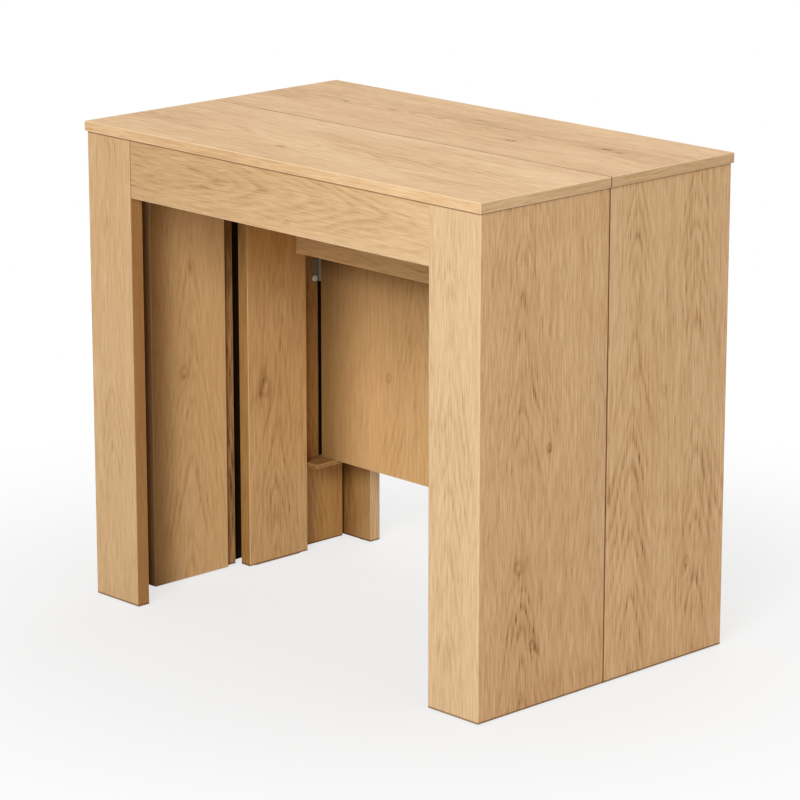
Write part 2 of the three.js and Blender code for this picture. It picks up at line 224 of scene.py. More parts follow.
class Graph:
    """Short calls for shader nodes: each one adds a node and gives back its output."""

    def __init__(self, name):
        self.material = bpy.data.materials.new(name)
        self.material.use_nodes = True
        self.tree = self.material.node_tree
        self.surface = self.tree.nodes["Principled BSDF"]

    def node(self, kind, inputs, output=0, **settings):
        made = self.tree.nodes.new(kind)
        for name, value in settings.items():
            setattr(made, name, value)
        for socket, value in inputs.items():
            self.feed(made.inputs[socket], value)
        return made.outputs[output]

    def feed(self, socket, value):
        if isinstance(value, bpy.types.NodeSocket):
            self.tree.links.new(value, socket)
        else:
            socket.default_value = value

    def set(self, **inputs):
        for name, value in inputs.items():
            self.feed(self.surface.inputs[name.replace("_", " ")], value)

    def math(self, operation, first, second=0.0, third=0.0):
        return self.node("ShaderNodeMath", {0: first, 1: second, 2: third}, operation=operation)

    def add(self, first, second):
        return self.math("ADD", first, second)

    def times(self, first, second):
        return self.math("MULTIPLY", first, second)

    def scaled(self, value, factor, shift):
        return self.math("MULTIPLY_ADD", value, factor, shift)

    def centred(self, value, width):
        """A value from 0 to 1 as one from -width / 2 to width / 2."""
        return self.scaled(value, width, -width / 2)

    def mix(self, share, first, second):
        return self.node("ShaderNodeMix", {0: share, 2: first, 3: second})

    def blend(self, share, first, second):
        inputs = {0: share, 6: first, 7: second}
        return self.node("ShaderNodeMix", inputs, output=2, data_type="RGBA")

    def step(self, value, low, high, start=0.0, end=1.0):
        inputs = {0: value, 1: low, 2: high, 3: start, 4: end}
        return self.node("ShaderNodeMapRange", inputs, interpolation_type="SMOOTHSTEP")

    def vector(self, x, y, z):
        return self.node("ShaderNodeCombineXYZ", {0: x, 1: y, 2: z})

    def split(self, vector):
        made = self.tree.nodes.new("ShaderNodeSeparateXYZ")
        self.tree.links.new(vector, made.inputs[0])
        return list(made.outputs)

    def object_place(self):
        return self.split(self.node("ShaderNodeTexCoord", {}, output="Object"))

    def object_normal(self):
        return self.split(self.node("ShaderNodeTexCoord", {}, output="Normal"))

    def looking(self, axis, side):
        """1 on the faces that look along an axis to the side 1 or -1, and 0 on the others."""
        return self.step(self.times(self.object_normal()[axis], float(side)), *FACING)

    def shaded(self, colour, left):
        """The colour times how much of it is left, warmer where darker: painted shade, and painted
        light where more than all of it is left.
        """
        dark = tuple(part * left for part in SHADED)
        return self.node("ShaderNodeVectorMath", {0: colour, 1: dark}, operation="MULTIPLY")

    def noise(self, vector, detail=2.0):
        inputs = {"Vector": vector, "Scale": 1.0, "Detail": detail, "Roughness": 0.5}
        return self.node("ShaderNodeTexNoise", inputs)

    def grain(self, u, v, scales, seed, detail):
        """Noise on a board's sheet, with one scale across the grain and one along it."""
        across, along = scales
        return self.noise(self.vector(self.times(u, across), self.times(v, along), seed), detail)

    def solid_noise(self, scales):
        """Noise in the object's space, with a scale for each axis."""
        place = zip(self.object_place(), scales)
        return self.noise(self.vector(*(self.times(part, scale) for part, scale in place)))

    def ramp(self, value, stops):
        made = self.tree.nodes.new("ShaderNodeValToRGB")
        elements = made.color_ramp.elements
        while len(elements) < len(stops):
            elements.new(1.0)
        for element, (place, colour) in zip(elements, stops):
            element.position = place
            element.color = (*colour, 1.0)
        self.tree.links.new(value, made.inputs[0])
        return made.outputs[0]

    def emboss(self, bump, height):
        """Gives the surface a relief."""
        strength, depth = bump
        inputs = {"Strength": strength, "Distance": depth, "Height": height}
        self.set(Normal=self.node("ShaderNodeBump", inputs))


class Board:
    """How a decor lies on a board: which way its grain runs, and where its figure and knots are.

    across and along are the axes of the sheet and through is its thickness. Figure axes and knots
    are given as shares of the board's size, from its low corner. Its shade is tone at the middle,
    and differs by rise between its ends. fineness narrows its fine strokes, and its edges get a
    painted highlight of a given strength. Each of its faces is an axis, the side 1 or -1 that it
    looks to, and how much of its colour is left there, as painted shade, and as painted light where
    more than all of it is left. Each of its lines is a dark joint or a painted shadow line. Each of
    its fades is painted shade in a recess that gets darker inwards: an axis, the places there where
    it is darkest and where it ends, how much of the colour is left at the darkest, and the axis and
    side of the face that it is on.
    """

    def __init__(self, across, along, colours, seed, axis_share=0.5, spacing=PLAIN_SPACING,
                 reach=PLAIN_REACH, slope=PLAIN_SLOPE, knots=(), tone=0.0, rise=0.0, contrast=1.0,
                 cloudy=1.0, fineness=1.0, edge_highlight=EDGE_HIGHLIGHT_STRENGTH, faces=(), lines=(), fades=()):
        self.across = across
        self.along = along
        self.through = 3 - across - along
        self.colours = colours
        self.seed = seed
        self.axis_share = axis_share
        self.spacing = spacing
        self.reach = reach
        self.slope = slope
        self.knots = knots
        self.tone = tone
        self.rise = rise
        self.contrast = contrast
        self.cloudy = cloudy
        self.fineness = fineness
        self.edge_highlight = edge_highlight
        self.faces = faces
        self.lines = lines
        self.fades = fades


def sheet_place(graph, board, low):
    """Place on the board's sheet, in metres. Edges show a band whose lines run along the edge."""
    place = graph.object_place()
    normal = graph.object_normal()

    def is_edge(axis):
        return graph.math("GREATER_THAN", graph.math("ABSOLUTE", normal[axis]), EDGE_FACING)

    u = graph.math("SUBTRACT", place[board.across], low[board.across])
    v = graph.math("SUBTRACT", place[board.along], low[board.along])
    band = graph.add(place[board.through], BAND_SHIFT)
    end_edge = is_edge(board.along)
    edge = graph.math("MAXIMUM", is_edge(board.across), end_edge)
    return graph.mix(edge, u, band), graph.mix(end_edge, v, u)


def knot(graph, u, v, centre, radius):
    """How far a knot raises the rings and spreads the grain, and how dark it makes a place."""
    across = graph.times(graph.math("SUBTRACT", u, centre[0]), 1 / radius)
    along = graph.times(graph.math("SUBTRACT", v, centre[1]), 1 / radius)
    square_u = graph.times(across, across)
    square_v = graph.times(along, along)
    distance = graph.add(square_u, graph.times(square_v, KNOT_PUSH_ALONG))
    bump = graph.math("EXPONENT", graph.times(distance, -KNOT_FALL))
    away = graph.math("SQRT", graph.add(square_u, graph.times(square_v, KNOT_RING_ALONG)))
    off_ring = graph.add(away, -KNOT_RING)
    ring = graph.math("EXPONENT", graph.times(graph.times(off_ring, off_ring), -KNOT_RING_FALL))
    raised = graph.times(bump, KNOT_RAISE * radius)
    aside = graph.times(graph.times(across, bump), -KNOT_SPREAD * radius)
    dark = graph.add(graph.times(ring, KNOT_RING_DARK), graph.times(bump, KNOT_MIDDLE_DARK))
    return raised, aside, dark


def arches(graph, board, axis, lines, v, seed):
    """Field whose level lines are pointed arches on the figure's axis, and how far beside it."""
    turn = math.pi / board.spacing
    offset = graph.scaled(lines, turn, -axis * turn)
    away = graph.math("ABSOLUTE", graph.times(graph.math("SINE", offset), 1 / turn))
    rounded = graph.math("SQRT", graph.add(graph.times(away, away), TIP_RADIUS ** 2))
    climb = graph.grain(0.0, v, CLIMB, seed + 2, 1.0)
    rise = graph.add(graph.times(v, board.slope), graph.times(climb, CLIMB_HEIGHT))
    width = graph.grain(lines, v, FIGURE_WIDTH, seed + 3, 1.0)
    near = graph.math("SUBTRACT", away, graph.centred(width, FIGURE_CHANGE))
    start, end = (board.reach * share for share in FIGURE_EDGE)
    return graph.add(rounded, rise), graph.step(near, start, end)


def ring_lines(graph, field, beside, v, seed):
    """The dark lines between the rings. They come and go along the grain, and fade beside it."""
    rings = graph.times(field, 1 / RING_PITCH)
    profile = graph.ramp(graph.math("FRACT", rings), RING_PROFILE)
    strength = graph.step(graph.grain(rings, v, RING_STRENGTH, seed + 4, 1.0), *RING_SHOWN)
    return graph.times(profile, graph.times(strength, graph.scaled(beside, -BESIDE_LOSS, 1.0)))


def rim_distance(graph, low, high):
    """Distance to the nearest edge of the board's box: the middle one of those to its sides."""
    gaps = []
    for place, start, end in zip(graph.object_place(), low, high):
        from_low = graph.add(place, -start)
        gaps.append(graph.math("MINIMUM", from_low, graph.scaled(place, -1.0, end)))
    first, second, third = gaps
    smaller = graph.math("MINIMUM", first, second)
    larger = graph.math("MAXIMUM", first, second)
    return graph.math("MAXIMUM", smaller, graph.math("MINIMUM", larger, third))


def marked(graph, board, colour, low, high):
    """The colour with painted highlights on its edges, dark joints and painted shadow lines, and
    painted shade in recesses, and painted shade and light on its faces.
    """
    # Painted highlight along the board's edges
    edge_highlight = graph.step(rim_distance(graph, low, high), RIM, RIM / 2, 0.0, board.edge_highlight)
    colour = graph.blend(edge_highlight, colour, (*EDGE_HIGHLIGHT_COLOUR, 1.0))
    place = graph.object_place()
    for axis, middle, half_width, strength, (foot, head), dark in board.lines:
        distance = graph.math("ABSOLUTE", graph.add(place[axis], -middle))
        share = graph.step(distance, half_width, LINE_CORE * half_width, 0.0, strength)
        level = graph.math("ABSOLUTE", graph.add(place[Z], -(foot + head) / 2))
        share = graph.times(share, graph.math("LESS_THAN", level, (head - foot) / 2))
        colour = graph.blend(share, colour, (*dark, 1.0))
    for axis, darkest, end, left, looks in board.fades:
        share = graph.step(place[axis], min(darkest, end), max(darkest, end))
        share = share if end < darkest else graph.math("SUBTRACT", 1.0, share)
        share = graph.times(share, graph.looking(*looks))
        colour = graph.blend(share, colour, graph.shaded(colour, left))
    for axis, side, left in board.faces:
        colour = graph.blend(graph.looking(axis, side), colour, graph.shaded(colour, left))
    return colour


def oak(name, board, low, high):
    """Oak decor: arched rings, pores in short strokes, streaks along the grain, and knots."""
    graph = Graph(name)
    u, v = sheet_place(graph, board, low)
    width = high[board.across] - low[board.across]
    length = high[board.along] - low[board.along]
    seed = board.seed * SEED_STEP

    drift = graph.centred(graph.grain(u, v, DRIFT, seed, 0.0), DRIFT_WIDTH)
    wobble = graph.centred(graph.grain(u, v, WOBBLE, seed + 1, 1.0), WOBBLE_WIDTH)
    lines = graph.add(u, graph.add(drift, wobble))
    push = spread = dark = 0.0
    for share_u, share_v, radius in board.knots:
        raised, aside, ring = knot(graph, u, v, (share_u * width, share_v * length), radius)
        push = graph.add(raised, push)
        spread = graph.add(aside, spread)
        dark = graph.add(ring, dark)
    arched, beside = arches(graph, board, board.axis_share * width, lines, v, seed)
    straight = graph.add(lines, spread)

    across, along = FINE_STROKES
    fine = graph.grain(straight, v, (across * board.fineness, along), seed + 6, 2.0)
    rings = ring_lines(graph, graph.add(arched, push), beside, v, seed)
    rings = graph.times(rings, graph.step(fine, *DASHES))
    pores = graph.step(graph.grain(straight, v, PORES, seed + 5, 1.0), *PORE_EDGE)
    pores = graph.times(pores, graph.scaled(rings, *PORES_ON_RINGS))
    long_lines = graph.grain(straight, v, LONG_LINES, seed + 7, 2.0)
    streaks = graph.grain(straight, v, STREAKS, seed + 8, 2.0)
    clouds = graph.grain(u, v, CLOUDS, seed + 9, 2.0)
    clouds = graph.scaled(clouds, board.cloudy, 0.5 - 0.5 * board.cloudy)

    shade = graph.scaled(v, board.rise / length, PLAIN_SHADE + board.tone - board.rise / 2)
    parts = (rings, pores, fine, long_lines, streaks, clouds)
    for part, (weight, mean) in zip(parts, GRAIN_WEIGHTS):
        weight *= board.contrast
        shade = graph.add(graph.scaled(part, weight, -mean * weight), shade)
    colour = graph.ramp(graph.add(shade, dark), tuple(zip(SHADES, board.colours)))

    graph.set(Base_Color=marked(graph, board, colour, low, high))
    graph.set(Roughness=graph.scaled(pores, *OAK_ROUGHNESS), Specular_IOR_Level=OAK_SPECULAR)
    pore_height, stroke_height = OAK_RELIEF
    relief = graph.add(graph.times(pores, pore_height), graph.times(fine, stroke_height))
    graph.emboss(OAK_BUMP, relief)
    return graph.material


def metal(name, colour, roughness, along, lines, spangle, metallic=1.0):
    """Metal with drawn or rolled lines along one axis. A dull coat makes it less metallic."""
    graph = Graph(name)
    scales = [lines] * 3
    scales[along] = DRAWN_SCALE
    drawn = graph.solid_noise(scales)
    cloud = graph.solid_noise((spangle,) * 3)
    shade = graph.add(graph.centred(drawn, DRAWN_CHANGE), graph.centred(cloud, CLOUD_CHANGE))
    tones = [tuple(min(1.0, part * tint) for part in colour) for tint in METAL_TINTS]
    graph.set(Base_Color=graph.ramp(graph.add(shade, 0.5), tuple(zip(WIDE_RAMP, tones))))
    graph.set(Roughness=graph.scaled(shade, METAL_UNEVEN, roughness), Metallic=metallic)
    graph.emboss(METAL_BUMP, drawn)
    return graph.material


def plastic(name, colour, roughness):
    """Moulded plastic with a fine grain and slightly uneven colour."""
    graph = Graph(name)
    grain = graph.solid_noise((PLASTIC_GRAIN,) * 3)
    cloud = graph.solid_noise((PLASTIC_CLOUDS,) * 3)
    dark = tuple(part * PLASTIC_DARK for part in colour)
    graph.set(Base_Color=graph.ramp(cloud, tuple(zip(PLASTIC_RAMP, (dark, colour)))))
    graph.set(Roughness=graph.scaled(grain, PLASTIC_UNEVEN, roughness - PLASTIC_UNEVEN / 2))
    graph.emboss(PLASTIC_BUMP, grain)
    return graph.material


def turned_wood(name, light, dark):
    """Beech of a dowel, its fibres along Y with short dark flecks."""
    graph = Graph(name)
    fibres = graph.solid_noise(BEECH_FIBRES)
    flecks = graph.step(graph.solid_noise(BEECH_FLECKS), *BEECH_FLECK_EDGE)
    shade = graph.add(graph.times(fibres, BEECH_FIBRE_SHARE), flecks)
    graph.set(Base_Color=graph.ramp(shade, tuple(zip(WIDE_RAMP, (light, dark)))))
    graph.set(Roughness=graph.scaled(fibres, *BEECH_ROUGHNESS))
    return graph.material


def add_camera():
    data = bpy.data.cameras.new("camera")
    data.lens = CAMERA_LENS
    data.clip_end = 2 * FLOOR_REACH
    camera = bpy.data.objects.new("camera", data)
    camera.location = CAMERA_PLACE
    camera.rotation_euler = (math.radians(90 - CAMERA_PITCH), 0, math.radians(CAMERA_YAW))
    bpy.context.scene.collection.objects.link(camera)
    bpy.context.scene.camera = camera


def add_light(name, place, size, level, glossy=True):
    """A round soft light. At level 1 it alone shows a colour facing it as the colour is written."""
    data = bpy.data.lights.new(name, "AREA")
    data.shape = "DISK"
    data.size = size
    towards = Vector(place) - Vector(AIM)
    data.energy = level * (math.pi * towards.length) ** 2
    lamp = bpy.data.objects.new(name, data)
    lamp.location = place
    lamp.rotation_euler = towards.to_track_quat("Z", "Y").to_euler()
    lamp.visible_glossy = glossy
    bpy.context.scene.collection.objects.link(lamp)


def add_world():
    """Even light from all round, which the camera, gloss and glass see as white."""
    world = bpy.data.worlds.new("studio")
    world.use_nodes = True
    bpy.context.scene.world = world
    tree = world.node_tree
    path = tree.nodes.new("ShaderNodeLightPath")
    seen = tree.nodes.new("ShaderNodeMath")
    seen.operation = "MAXIMUM"
    tree.links.new(path.outputs["Is Camera Ray"], seen.inputs[0])
    tree.links.new(path.outputs["Is Glossy Ray"], seen.inputs[1])
    shown = tree.nodes.new("ShaderNodeMath")
    shown.operation = "MAXIMUM"
    tree.links.new(seen.outputs[0], shown.inputs[0])
    tree.links.new(path.outputs["Is Transmission Ray"], shown.inputs[1])
    level = tree.nodes.new("ShaderNodeMapRange")
    level.inputs["To Min"].default_value = AMBIENT
    level.inputs["To Max"].default_value = 1.0
    tree.links.new(shown.outputs[0], level.inputs["Value"])
    background = tree.nodes["Background"]
    background.inputs["Color"].default_value = (1.0, 1.0, 1.0, 1.0)
    tree.links.new(level.outputs["Result"], background.inputs["Strength"])


def add_floor():
    """A plain pale floor that takes the table's shadow."""
    mesh = bpy.data.meshes.new("floor")
    signs = ((-1, -1), (1, -1), (1, 1), (-1, 1))
    corners = [(x * FLOOR_REACH, y * FLOOR_REACH, -FLOOR_GAP) for x, y in signs]
    mesh.from_pydata(corners, [], [(0, 1, 2, 3)])
    floor = bpy.data.objects.new("floor", mesh)
    bpy.context.scene.collection.objects.link(floor)
    graph = Graph("studio_floor")
    tone = (FLOOR_TONE, FLOOR_TONE, FLOOR_TONE, 1.0)
    graph.set(Base_Color=tone, Roughness=0.9, Specular_IOR_Level=0.0)
    white = graph.node("ShaderNodeEmission", {"Color": (1.0, 1.0, 1.0, 1.0), "Strength": 1.0})
    seen = graph.node("ShaderNodeLightPath", {}, output="Is Camera Ray")
    place = graph.node("ShaderNodeTexCoord", {}, output="Object")
    away = graph.node("ShaderNodeVectorMath", {0: place}, output=1, operation="LENGTH")
    share = graph.times(seen, graph.step(away, *FLOOR_FADE, FLOOR_WHITE, 1.0))
    inputs = {0: share, 1: graph.surface.outputs[0], 2: white}
    mixed = graph.node("ShaderNodeMixShader", inputs)
    graph.tree.links.new(mixed, graph.tree.nodes["Material Output"].inputs["Surface"])
    mesh.materials.append(graph.material)


def dress(node, material):
    """Gives a CAD node its material."""
    piece = frame["nodes"][node]
    piece.data.materials.clear()
    piece.data.materials.append(material)


def joint_and_shadow_line(axis, place, half_width=RIM, strength=0.6, heights=(0.0, 1.0), dark=JOINT_AND_SHADOW_DARK):
    """A dark line on a board, as a dark joint where another one meets it, and as a painted shadow
    line where shade falls.

    It is the axis that the line crosses, its place there, its half width, its strength, the
    heights that it runs between, and its colour.
    """
    return (axis, place, half_width, strength, heights, dark)


side_low, side_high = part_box("front_side_left")
apron_low, apron_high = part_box("front_apron")
panel_low, panel_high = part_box("back_panel")
board_low, board_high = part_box("front_inner_board_left")
rear_board_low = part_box("rear_inner_board_right")[0]
batten_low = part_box("seam_batten_left")[0]
leg_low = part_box("rear_leg_right")[0]
cross_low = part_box("support_cross_board")[0]

# Dark lines. SEAM, TOP_SEAM and the apron's joints are dark joints where boards meet. UNDER_TOP and
# SIDE_UNDER_TOP are painted shadow under the top's overhang, FOOT is painted shadow along the
# floor, and BATTEN_CORNER is painted shade in the corner behind the inner board.
UNDER_TOP = joint_and_shadow_line(Z, side_high[Z], 3.4 * MM)
SIDE_UNDER_TOP = joint_and_shadow_line(Z, side_high[Z], 2.6 * MM, 0.35)
FOOT = joint_and_shadow_line(Z, side_low[Z], 3.2 * MM, 0.75)
SEAM = joint_and_shadow_line(Y, 0.0, 1.8 * MM, 0.9)
TOP_SEAM = joint_and_shadow_line(Y, 0.0, 1.6 * MM, 0.8)
APRON_LEFT = joint_and_shadow_line(X, apron_low[X])
APRON_RIGHT = joint_and_shadow_line(X, apron_high[X], strength=0.25)
BATTEN_CORNER = joint_and_shadow_line(Y, batten_low[Y], 9 * MM, 0.8)
# PANEL_GAP is painted shade, nearly black, in the slit between the back panel's end and the rear
# inner board
PANEL_GAP = joint_and_shadow_line(Y, (panel_low[Y] + panel_high[Y]) / 2, (panel_high[Y] - panel_low[Y]) / 2,
                  1.0, (panel_low[Z], panel_high[Z]), SLIT_SHADE_DARK)

# Painted shade in recesses: how wide it is, and how much of the colour is left at its darkest
PANEL_SIDE_RECESS, PANEL_SIDE_LEFT = 130 * MM, 0.40
PANEL_TOP_RECESS, PANEL_TOP_LEFT = 70 * MM, 0.49
BOARD_RECESS, BOARD_LEFT = 75 * MM, 0.5
BOARD_END_START, BOARD_END_LEFT = 3 * MM, 0.38
LEG_RECESS_END, LEG_LEFT = 8 * MM, 0.6
UPPER_RECESS = (570 * MM, 430 * MM)
BATTEN_LEFT = 0.5
POST_LEFT = 0.86

# Painted shade: how much of the colour is left on faces inside the table, where shade falls. The
# side panels' inner faces are painted nearly black for the shade in the slits beside the inner
# boards
SIDE_INNER_SHADE_LEFT = 0.07
REAR_BOARD_LEFT = 0.74
REAR_LEG_LEFT = 0.65
POST_FRONT_LEFT = 0.6
LEDGE_FACES = ((Z, 1, 0.5), (Y, -1, 0.45), (X, 1, 0.65), (X, -1, 0.65))

# Painted shade on the back panel, darker towards its ends and towards the cross board above it
PANEL_RECESSES = (
    (X, panel_low[X], panel_low[X] + PANEL_SIDE_RECESS, PANEL_SIDE_LEFT, TO_FRONT),
    (X, panel_high[X], panel_high[X] - PANEL_SIDE_RECESS, PANEL_SIDE_LEFT, TO_FRONT),
    (Z, cross_low[Z], cross_low[Z] - PANEL_TOP_RECESS, PANEL_TOP_LEFT, TO_FRONT),
)


def inner_face(sign, left):
    """The painted shade of the face that looks inwards from the left or right side of the table."""
    return ((X, -sign, left),)


def leg_recess(sign):
    """Painted shade in the recess between a rear leg and the inner board behind it."""
    start, end = rear_board_low[X], leg_low[X] + LEG_RECESS_END
    return ((X, sign * start, sign * end, LEG_LEFT, TO_FRONT),)


def board_recesses(sign):
    """Painted shade on a front inner board in the recess behind the leg, and on its front end."""
    start, end = board_low[X] + BOARD_END_START, board_high[X]
    return ((Y, board_low[Y], board_low[Y] + BOARD_RECESS, BOARD_LEFT, (X, -sign)),
            (X, -sign * start, -sign * end, BOARD_END_LEFT, TO_FRONT))


def upper_recess(sign, left):
    """Painted shade under the table top on a piece's inner face."""
    return ((Z, *UPPER_RECESS, left, (X, -sign)),)


# Layouts of the boards. Knots are (share across, share along, radius).
TOP = {"across": Y, "along": X, "colours": TOP_OAK, "contrast": 0.7, "cloudy": 4.0,
       "lines": (TOP_SEAM,)}
LEG = {"across": X, "along": Z, "reach": 12 * MM, "edge_highlight": 0.3}
REAR_LEG = {**LEG, "colours": SHADED_OUTER_OAK, "contrast": 0.7, "lines": (UNDER_TOP, FOOT),
            "faces": ((*TO_FRONT, REAR_LEG_LEFT),)}
SIDE = {"across": Y, "along": Z, "colours": SIDE_OAK, "rise": -0.12, "edge_highlight": 0.3,
        "lines": (SEAM, SIDE_UNDER_TOP, FOOT)}
LEFT_SIDE = {**SIDE, "faces": inner_face(LEFT, SIDE_INNER_SHADE_LEFT)}
RIGHT_SIDE = {**SIDE, "faces": inner_face(RIGHT, SIDE_INNER_SHADE_LEFT)}
APRON = {"across": Z, "along": X, "colours": SHADED_OUTER_OAK, "contrast": 0.58, "fineness": 1.4,
         "lines": (UNDER_TOP, APRON_LEFT, APRON_RIGHT)}
INNER = {"across": Y, "along": Z, "colours": INNER_OAK, "contrast": 0.65}
# The rear inner boards and the battens are darker all over: painted shade deep inside the table
REAR_INNER = {**INNER, "tone": 0.08, "lines": (PANEL_GAP, FOOT)}
BATTEN = {**INNER, "tone": 0.47, "lines": (BATTEN_CORNER, FOOT)}
POST = {**INNER, "tone": 0.12, "lines": (FOOT,), "faces": ((*TO_FRONT, POST_FRONT_LEFT),)}
PANEL = {"across": X, "along": Z, "colours": INNER_OAK, "contrast": 0.5}
BEAM = {"across": Z, "along": X, "colours": INNER_OAK, "contrast": 0.7}
# The ledges are darker all over and on each face: painted shade under the post and cross board
LEDGE = {**BEAM, "axis_share": -2.0, "tone": 0.3, "faces": LEDGE_FACES}

BOARDS = {
    "front_top": Board(**TOP, seed=1, axis_share=0.45, knots=((0.3, 0.42, 6 * MM),)),
    "rear_top": Board(**TOP, seed=2, axis_share=0.55, slope=-0.2, tone=0.07,
                      knots=((0.35, 0.66, 7 * MM), (0.55, 0.83, 5 * MM))),
    # The front legs' inner edges are painted lighter and warmer: painted light. The left leg's
    # darker, warmer colours and tone are painted shade.
    "front_leg_right": Board(**LEG, colours=OUTER_OAK, seed=3, axis_share=0.4, contrast=0.7,
                             lines=(UNDER_TOP, FOOT, APRON_RIGHT), faces=((X, -1, 1.12),)),
    "front_leg_left": Board(**LEG, colours=SHADED_OUTER_OAK, seed=4, axis_share=0.45, contrast=0.55,
                            tone=0.10, lines=(UNDER_TOP, FOOT, APRON_LEFT),
                            faces=((X, 1, 1.2),)),
    "rear_leg_right": Board(**REAR_LEG, seed=5, axis_share=0.6, fades=leg_recess(RIGHT)),
    "rear_leg_left": Board(**REAR_LEG, seed=6, axis_share=0.3, fades=leg_recess(LEFT)),
    "front_side_right": Board(**RIGHT_SIDE, seed=7, axis_share=0.34, slope=0.22, tone=0.03,
                              knots=((0.31, 0.29, 9 * MM), (0.42, 0.125, 7 * MM),
                                     (0.54, 0.515, 6 * MM))),
    "rear_side_right": Board(**RIGHT_SIDE, seed=8, axis_share=0.22, spacing=141.51 * MM,
                             reach=30 * MM, slope=0.22, tone=-0.08,
                             knots=((0.47, 0.57, 6 * MM), (0.69, 0.2, 7 * MM))),
    "front_side_left": Board(**LEFT_SIDE, seed=9, axis_share=0.4,
                             knots=((0.6, 0.4, 8 * MM),)),
    "rear_side_left": Board(**LEFT_SIDE, seed=10, axis_share=0.6,
                            knots=((0.3, 0.7, 7 * MM), (0.5, 0.15, 6 * MM))),
    # The front apron is darker and warmer towards its left end: painted shade
    "front_apron": Board(**APRON, seed=11, axis_share=0.55, tone=0.08, rise=-0.28,
                         knots=((0.19, 0.545, 3.5 * MM),)),
    "rear_apron": Board(**APRON, seed=12, axis_share=0.4),
    "front_inner_board_left": Board(**INNER, seed=13, tone=-0.05, fades=board_recesses(LEFT),
                                    knots=((0.43, 0.46, 9 * MM),)),
    "front_inner_board_right": Board(**INNER, seed=14, axis_share=0.4,
                                     fades=board_recesses(RIGHT)),
    "rear_inner_board_left": Board(**REAR_INNER, seed=15,
                                   faces=inner_face(LEFT, REAR_BOARD_LEFT)),
    "rear_inner_board_right": Board(**REAR_INNER, seed=16, axis_share=0.4,
                                    faces=inner_face(RIGHT, REAR_BOARD_LEFT)),
    "seam_batten_left": Board(**BATTEN, seed=17, axis_share=-2.0,
                              fades=upper_recess(LEFT, BATTEN_LEFT)),
    "seam_batten_right": Board(**BATTEN, seed=18, axis_share=-2.5,
                               fades=upper_recess(RIGHT, BATTEN_LEFT)),
    "support_post_left": Board(**POST, seed=19, fades=upper_recess(LEFT, POST_LEFT),
                               knots=((0.28, 0.43, 14 * MM),)),
    "support_post_right": Board(**POST, seed=20, axis_share=0.45,
                                fades=upper_recess(RIGHT, POST_LEFT)),
    "support_cross_board": Board(**BEAM, seed=21, axis_share=0.4),
    "back_panel": Board(**PANEL, seed=22, axis_share=0.3, spacing=0.36, tone=0.04,
                        fades=PANEL_RECESSES, knots=((0.215, 0.31, 6 * MM),)),
    "panel_ledge_left": Board(**LEDGE, seed=23),
    "panel_ledge_right": Board(**LEDGE, seed=24),
}


def dress_boards():
    for node, board in BOARDS.items():
        low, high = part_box(node)
        dress(node, oak(f"oak_{node}", board, low, high))


def dress_fittings(aluminium, zinc, nylon):
    for node in frame["nodes"]:
        if "glide" in node:
            dress(node, nylon)
        elif "bracket" in node:
            dress(node, zinc)
        elif "rail" in node:
            dress(node, aluminium)


def circle(radius, height, flute=0.0):
    """A ring of points round Z, every other one drawn in by the depth of a flute."""
    points = []
    for index in range(RING_SIDES):
        turn = 2 * math.pi * index / RING_SIDES
        reach = radius - flute * (index % 2)
        points.append((reach * math.cos(turn), reach * math.sin(turn), height))
    return points


def cross(reach, height):
    """A ring of points on the outline of a cross, whose arms are two steps of the ring wide."""
    step = 2 * math.pi / RING_SIDES
    half_width = reach * math.tan(step)
    points = []
    for index in range(RING_SIDES):
        x, y = math.cos(index * step), math.sin(index * step)
        longer = max(abs(x), abs(y))
        shorter = max(min(abs(x), abs(y)), 1e-9)
        stretch = min(reach / longer, half_width / shorter)
        points.append((stretch * x, stretch * y, height))
    return points


def pan_screw(radius=4.2 * MM, height=2.2 * MM, shank=1.9 * MM, length=12 * MM):
    """Rings of a screw from its tip to the recess in its head, its seat at 0, its head to +Z."""
    return (circle(0.3 * shank, -length), circle(shank, 2 * shank - length), circle(shank, 0.0),
            circle(radius, 0.0), circle(radius, 0.3 * height),
            circle(0.88 * radius, 0.75 * height), circle(0.66 * radius, height),
            cross(0.5 * radius, height), cross(0.34 * radius, 0.3 * height))


def cam_lock(radius=7.5 * MM, height=0.5 * MM, depth=9 * MM):
    """Rings of a round cam lock, set in a board and turned by a cross slot."""
    return (circle(radius, -depth), circle(radius, 0.5 * height), circle(0.93 * radius, height),
            circle(0.8 * radius, height), circle(0.74 * radius, 0.0), cross(0.55 * radius, 0.0),
            cross(0.45 * radius, -0.3 * depth))


def fluted_dowel(radius, length):
    """Rings of a dowel with glue flutes and bevelled ends, its middle at 0."""
    end, bevel, flute = length / 2, 0.25 * radius, 0.08 * radius
    return (circle(radius - bevel, -end), circle(radius, bevel - end, flute),
            circle(radius, end - bevel, flute), circle(radius - bevel, end))


def fit(name, rings, place, facing, carrier, material):
    """A closed piece through rings of points, set at a place with its +Z turned to face a way."""
    count = len(rings[0])
    points = [point for ring in rings for point in ring]
    faces = [tuple(reversed(range(count))), tuple(range(len(points) - count, len(points)))]
    for start in range(0, len(points) - count, count):
        for index in range(count):
            after = (index + 1) % count
            faces.append((start + index, start + after,
                          start + count + after, start + count + index))
    mesh = bpy.data.meshes.new(name)
    mesh.from_pydata(points, [], faces)
    turn = Vector((0, 0, 1)).rotation_difference(Vector(facing))
    mesh.transform(Matrix.Translation(place) @ turn.to_matrix().to_4x4())
    for polygon in mesh.polygons:
        polygon.use_smooth = True
    mesh.set_sharp_from_angle(angle=SHARP_ANGLE)
    mesh.materials.append(material)
    piece = bpy.data.objects.new(name, mesh)
    bpy.context.scene.collection.objects.link(piece)
    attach(piece, body_of(frame["nodes"][carrier])[0])
    return piece


